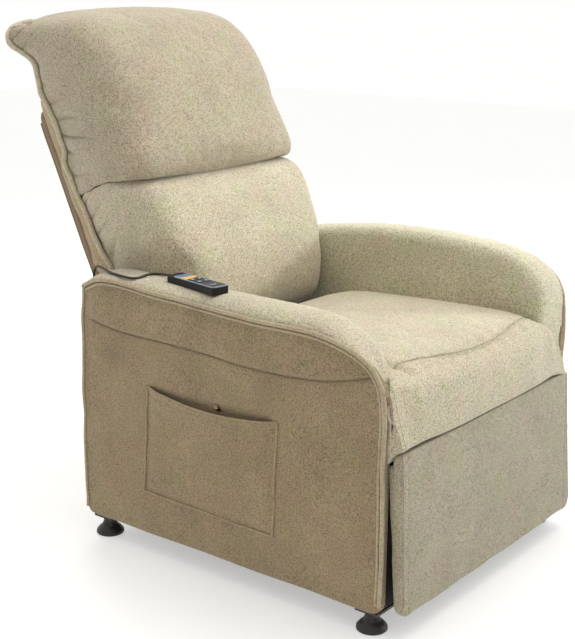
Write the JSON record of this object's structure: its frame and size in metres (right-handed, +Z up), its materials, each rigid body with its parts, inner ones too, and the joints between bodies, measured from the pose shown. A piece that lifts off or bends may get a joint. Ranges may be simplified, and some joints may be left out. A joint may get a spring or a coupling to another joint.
{
  "type": "lift recliner chair",
  "caption": "Fabric lift recliner armchair with padded back, T-shaped seat, side pocket, corded handset, tilting lift base, reclining back and folding leg rest.",
  "frame": {"origin": "on the floor under the middle of the whole chair at rest", "axes": "+Z up, the chair faces -Y, +X is the sitter's left"},
  "size_m": [0.722, 1.141, 1.121],
  "materials": {
    "frame_steel": "satin black powder coat",
    "link_steel": "dark grey powder coat",
    "pin_steel": "zinc plated",
    "foot_black": "moulded black",
    "board": "raw plywood",
    "cover_fabric": "heathered oatmeal chenille",
    "cushion_fabric": "heathered oatmeal chenille over foam",
    "back_fabric": "plain taupe weave",
    "lining": "black lining cloth",
    "actuator_plastic": "black moulded",
    "motor_shell": "dark grey moulded",
    "rod_steel": "ground rod",
    "handset_black": "fine textured black",
    "handset_navy": "satin navy membrane",
    "key_grey": "pale grey blue keys",
    "cord_black": "black cable jacket",
    "snap_brass": "antique snap stud"
  },
  "bodies": {
    "base": {"base_end_tubes": "frame_steel", "base_mid_tube": "frame_steel", "base_side_rails": "frame_steel", "base_pivot_brackets": "frame_steel", "foot_plates": "frame_steel", "front_feet": "foot_black", "rear_feet": "foot_black"},
    "lift_arms": {"lift_arms": "link_steel", "lift_torque_tube": "link_steel"},
    "rear_links": {"rear_lift_links": "link_steel"},
    "seat_frame": {"seat_side_plates": "board", "seat_pivot_pins": "pin_steel", "seat_cross_rails": "board", "seat_cross_tubes": "frame_steel", "seat_webbing": "lining", "seat_cushion": "cushion_fabric", "right_side_panel": "cover_fabric", "right_side_padding": "cover_fabric", "left_side_panel": "cover_fabric", "right_inner_panel": "cover_fabric", "left_inner_panel": "cover_fabric", "arm_front_boards": "lining", "arm_rear_boards": "cover_fabric", "right_arm_pad": "cushion_fabric", "left_arm_pad": "cushion_fabric", "side_pocket": "cover_fabric", "pocket_snap": "snap_brass", "rear_panel": "cover_fabric", "control_box": "actuator_plastic", "power_inlet": "actuator_plastic", "cord_grommet": "actuator_plastic", "inner_lead": "cord_black", "handset_cord": "cord_black"},
    "backrest": {"back_pivot_tube": "frame_steel", "back_hinge_plates": "link_steel", "back_side_rails": "board", "back_cross_rails": "board", "lumbar_cushion": "cushion_fabric", "headrest_cushion": "cushion_fabric", "outer_back": "back_fabric"},
    "leg_upper": {"leg_upper_links": "link_steel"},
    "leg_lower": {"leg_lower_links": "link_steel"},
    "footrest": {"footrest_brackets": "link_steel", "footrest_board": "board", "footrest_pad": "cushion_fabric"},
    "lift_actuator": {"lift_actuator_housing": "actuator_plastic", "lift_actuator_motor": "motor_shell"},
    "lift_rod": {"lift_actuator_rod": "rod_steel"},
    "back_actuator": {"back_actuator_housing": "actuator_plastic", "back_actuator_motor": "motor_shell"},
    "back_rod": {"back_actuator_rod": "rod_steel"},
    "leg_actuator": {"leg_actuator_housing": "actuator_plastic", "leg_actuator_motor": "motor_shell"},
    "leg_rod": {"leg_actuator_rod": "rod_steel"},
    "handset": {"handset_shell": "handset_black", "handset_face": "handset_navy"},
    "key_back_up": {"key_back_up": "key_grey"},
    "key_back_down": {"key_back_down": "key_grey"},
    "key_legs_up": {"key_legs_up": "key_grey"},
    "key_legs_down": {"key_legs_down": "key_grey"}
  },
  "joints": [
    {"name": "lift", "type": "hinge", "parent": "base", "child": "lift_arms", "pos_m": [0, -0.415, 0.098], "axis": [1, 0, 0], "range_deg": [0, 50]},
    {"name": "seat_tilt", "type": "hinge", "parent": "lift_arms", "child": "seat_frame", "pos_m": [0, 0.014, 0.128], "axis": [-1, 0, 0], "range_deg": [0, 24.1]},
    {"name": "rear_link_swing", "type": "hinge", "parent": "base", "child": "rear_links", "pos_m": [0, -0.348, 0.118], "axis": [1, 0, 0], "range_deg": [0, 47.6]},
    {"name": "recline", "type": "hinge", "parent": "seat_frame", "child": "backrest", "pos_m": [0, 0.195, 0.395], "axis": [-1, 0, 0], "range_deg": [-12, 38]},
    {"name": "leg_raise", "type": "hinge", "parent": "seat_frame", "child": "leg_upper", "pos_m": [0, -0.35, 0.33], "axis": [-1, 0, 0], "range_deg": [0, 83]},
    {"name": "leg_knee", "type": "hinge", "parent": "leg_upper", "child": "leg_lower", "pos_m": [0, -0.3657, 0.1507], "axis": [1, 0, 0], "range_deg": [0, 108.2]},
    {"name": "footrest_tilt", "type": "hinge", "parent": "leg_lower", "child": "footrest", "pos_m": [0, -0.51, 0.25], "axis": [-1, 0, 0], "range_deg": [0, 105.2]},
    {"name": "lift_actuator_swing", "type": "hinge", "parent": "base", "child": "lift_actuator", "pos_m": [0, 0.0995, 0.082], "axis": [1, 0, 0], "range_deg": [0, 4.4]},
    {"name": "lift_actuator_stroke", "type": "slide", "parent": "lift_actuator", "child": "lift_rod", "axis": [0, -0.9862, 0.1653], "range_m": [0, 0.0482]},
    {"name": "back_actuator_swing", "type": "hinge", "parent": "seat_frame", "child": "back_actuator", "pos_m": [0, -0.183, 0.249], "axis": [1, 0, 0], "range_deg": [-1, 1]},
    {"name": "back_actuator_stroke", "type": "slide", "parent": "back_actuator", "child": "back_rod", "axis": [0, 0.9779, 0.2089], "range_m": [-0.0415, 0.0135]},
    {"name": "leg_actuator_swing", "type": "hinge", "parent": "seat_frame", "child": "leg_actuator", "pos_m": [0, -0.0345, 0.222], "axis": [-1, 0, 0], "range_deg": [0, 2.3]},
    {"name": "leg_actuator_stroke", "type": "slide", "parent": "leg_actuator", "child": "leg_rod", "axis": [0, -0.9819, 0.1896], "range_m": [0, 0.0662]},
    {"name": "handset_lift_off", "type": "slide", "parent": "seat_frame", "child": "handset", "axis": [0, 0, 1], "range_m": [0, 0.06]},
    {"name": "key_back_up_press", "type": "slide", "parent": "handset", "child": "key_back_up", "axis": [0, 0, -1], "range_m": [0, 0.001], "stiffness_N_per_m": 400, "springref_m": -0.0005},
    {"name": "key_back_down_press", "type": "slide", "parent": "handset", "child": "key_back_down", "axis": [0, 0, -1], "range_m": [0, 0.001], "stiffness_N_per_m": 400, "springref_m": -0.0005},
    {"name": "key_legs_up_press", "type": "slide", "parent": "handset", "child": "key_legs_up", "axis": [0, 0, -1], "range_m": [0, 0.001], "stiffness_N_per_m": 400, "springref_m": -0.0005},
    {"name": "key_legs_down_press", "type": "slide", "parent": "handset", "child": "key_legs_down", "axis": [0, 0, -1], "range_m": [0, 0.001], "stiffness_N_per_m": 400, "springref_m": -0.0005}
  ],
  "couplings": [
    {"joint": "seat_tilt", "follows": "lift", "ratio": 0.48},
    {"joint": "rear_link_swing", "follows": "lift", "ratio": 0.94862},
    {"joint": "leg_knee", "follows": "leg_raise", "ratio": 1.3012},
    {"joint": "footrest_tilt", "follows": "leg_raise", "ratio": 1.2651},
    {"joint": "lift_actuator_swing", "follows": "lift", "ratio": 0.086054},
    {"joint": "lift_actuator_stroke", "follows": "lift", "m_per_rad": 0.054812},
    {"joint": "back_actuator_swing", "follows": "recline", "ratio": 0.0206},
    {"joint": "back_actuator_stroke", "follows": "recline", "m_per_rad": -0.061948},
    {"joint": "leg_actuator_swing", "follows": "leg_raise", "ratio": 0.025831},
    {"joint": "leg_actuator_stroke", "follows": "leg_raise", "m_per_rad": 0.045433}
  ]
}
